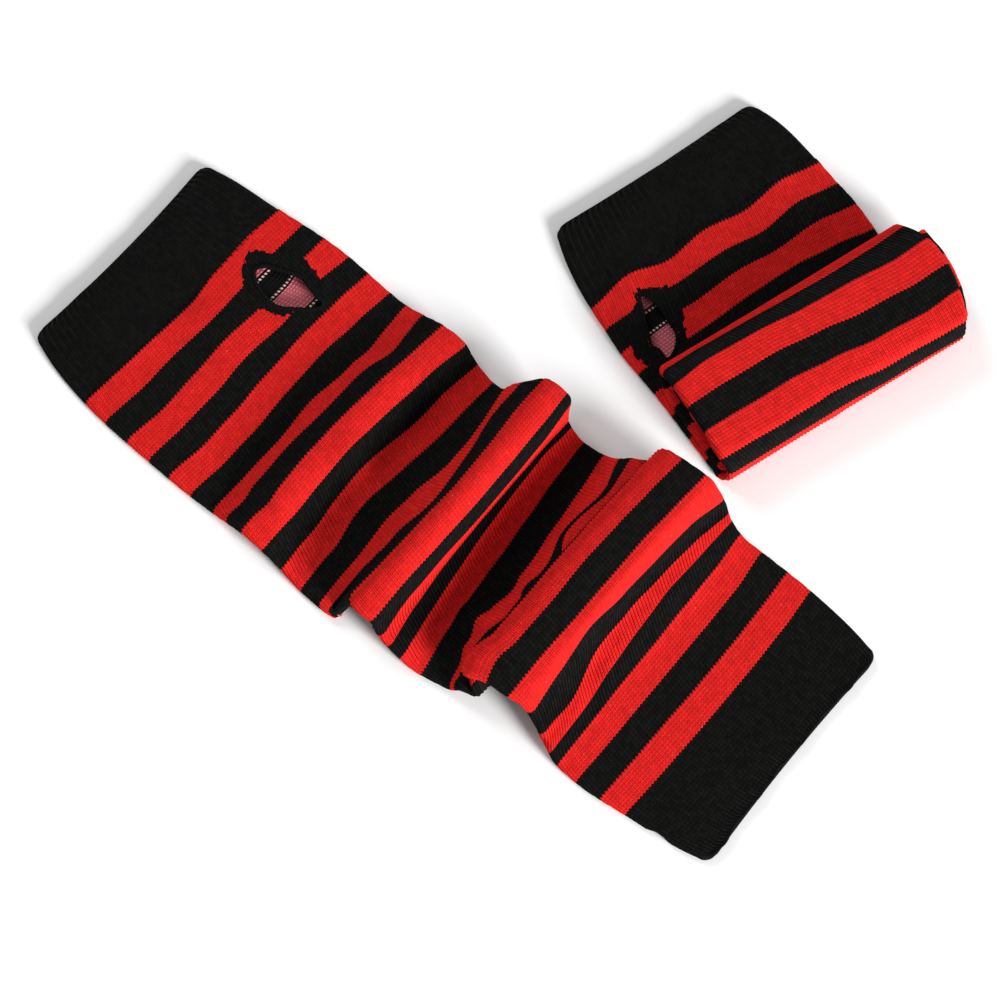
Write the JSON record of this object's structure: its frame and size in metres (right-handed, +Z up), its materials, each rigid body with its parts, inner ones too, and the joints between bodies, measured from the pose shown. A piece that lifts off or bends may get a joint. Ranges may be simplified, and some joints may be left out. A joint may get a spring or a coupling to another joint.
{
  "type": "pair of knitted arm warmers",
  "caption": "Pair of striped, knitted arm warmers with a ribbed hand cuff, a thumb hole and an arm hem; one bunched into folds, the other folded up.",
  "frame": {"origin": "middle of the pair's footprint, at the height of the surface it lies on", "axes": "+Z up from the surface; +X from the long warmer's side towards the folded one's, to the viewer's right; +Y away from the viewer"},
  "size_m": [0.2881, 0.2493, 0.02],
  "materials": {
    "striped_knit": "fine rib knit with alternating red and black stripes, matt",
    "black_knit": "black rib knit, matt",
    "black_thread": "overcast black thread edging, matt"
  },
  "bodies": {
    "root": {"long_hand_cuff": "black_knit", "long_hand_stretch": "striped_knit", "long_thumb_edging": "black_thread", "long_arm_step": "striped_knit", "long_first_fold": "striped_knit", "long_second_fold": "striped_knit", "long_arm_end": "striped_knit", "long_arm_hem": "black_knit", "folded_hand_cuff": "black_knit", "folded_hand_stretch": "striped_knit", "folded_thumb_edging": "black_thread", "folded_roll": "striped_knit"}
  },
  "joints": []
}
